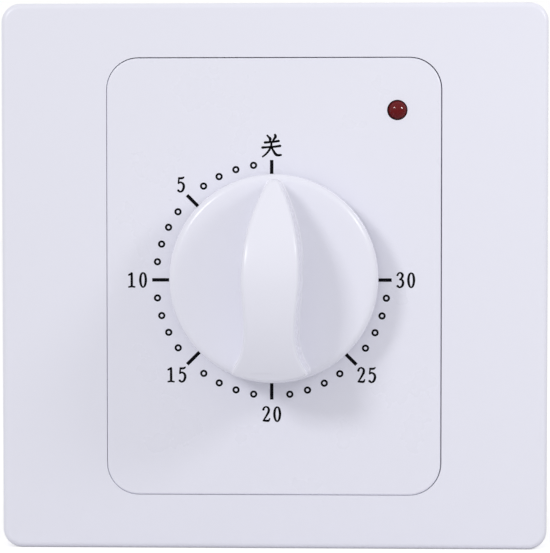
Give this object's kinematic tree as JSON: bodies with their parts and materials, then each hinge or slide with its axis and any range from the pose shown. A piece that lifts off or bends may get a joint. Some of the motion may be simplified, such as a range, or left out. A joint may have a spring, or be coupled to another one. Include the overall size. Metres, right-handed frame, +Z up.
{
  "type": "timer light switch",
  "caption": "Square wall timer switch: clip-on face frame, dial panel, wind-up knob with raised grip, red pilot lamp, and an open clockwork movement with cam switch behind.",
  "frame": {"origin": "midway between the two wall screws, on the wall plane at the back face of the mounting base", "axes": "+Z up, +X to the right of someone facing the switch, -Y out of the wall towards them"},
  "size_m": [0.086, 0.0555, 0.086],
  "materials": {
    "frame_white": "gloss",
    "panel_white": "gloss",
    "knob_white": "gloss",
    "base_plastic": "matte",
    "zinc_steel": "satin",
    "plate_steel": "satin",
    "spring_steel": "satin",
    "wheel_brass": "satin",
    "nylon": "satin",
    "phenolic": "satin",
    "contact_bronze": "satin",
    "contact_silver": "polished",
    "lamp_red": "gloss",
    "board_green": "satin",
    "resistor_tan": "satin",
    "wire_red": "satin"
  },
  "bodies": {
    "housing": {"face_frame": "frame_white", "inner_panel": "panel_white", "mounting_base": "base_plastic", "timer_screws": "zinc_steel", "timer_front_plate": "plate_steel", "timer_rear_plate": "plate_steel", "plate_pillars": "zinc_steel", "rear_screws": "zinc_steel", "front_bush": "wheel_brass", "spring_post": "zinc_steel", "stop_post": "zinc_steel", "mainspring": "spring_steel", "switch_block": "phenolic", "block_screws": "zinc_steel", "moving_contact": "contact_bronze", "fixed_contact": "contact_bronze", "contact_rivets": "contact_silver", "terminal_clamps": "wheel_brass", "terminal_screws": "zinc_steel", "indicator_led": "lamp_red", "led_leads": "zinc_steel", "led_board": "board_green", "led_resistor": "resistor_tan", "led_wires": "wire_red"},
    "knob_arbor": {"knob": "knob_white", "knob_clip": "spring_steel", "main_arbor": "zinc_steel", "great_wheel": "wheel_brass", "stop_pin": "zinc_steel", "switch_cam": "nylon", "cam_ring": "spring_steel"},
    "second_wheel_set": {"second_arbor": "zinc_steel", "second_wheel": "wheel_brass"},
    "third_wheel_set": {"third_arbor": "zinc_steel", "third_wheel": "wheel_brass"},
    "escape_wheel_set": {"escape_arbor": "zinc_steel", "escape_wheel": "nylon"},
    "pallet_set": {"pallet_arbor": "zinc_steel", "pallet_lever": "zinc_steel", "inertia_bar": "wheel_brass"}
  },
  "joints": [
    {"name": "knob_turn", "type": "hinge", "parent": "housing", "child": "knob_arbor", "pos_m": [0, 0, -0.00025], "axis": [0, -1, 0], "range_deg": [0, 270], "deforming": ["mainspring", "moving_contact"]},
    {"name": "second_wheel_turn", "type": "hinge", "parent": "housing", "child": "second_wheel_set", "pos_m": [0.01138, 0, 0.01238], "axis": [0, -1, 0], "range_deg": [-2026, 0]},
    {"name": "third_wheel_turn", "type": "hinge", "parent": "housing", "child": "third_wheel_set", "pos_m": [-0.00087, 0, 0.01613], "axis": [0, -1, 0], "range_deg": [0, 14176]},
    {"name": "escape_wheel_turn", "type": "hinge", "parent": "housing", "child": "escape_wheel_set", "pos_m": [-0.01167, 0, 0.01518], "axis": [0, -1, 0], "range_deg": [-95690, 0]},
    {"name": "pallet_swing", "type": "hinge", "parent": "housing", "child": "pallet_set", "pos_m": [-0.01455, 0, 0.00729], "axis": [0, -1, 0], "range_deg": [-3, 3]}
  ],
  "couplings": [
    {"joint": "second_wheel_turn", "follows": "knob_turn", "ratio": -7.5},
    {"joint": "third_wheel_turn", "follows": "knob_turn", "ratio": 52.5},
    {"joint": "escape_wheel_turn", "follows": "knob_turn", "ratio": -354.38}
  ]
}
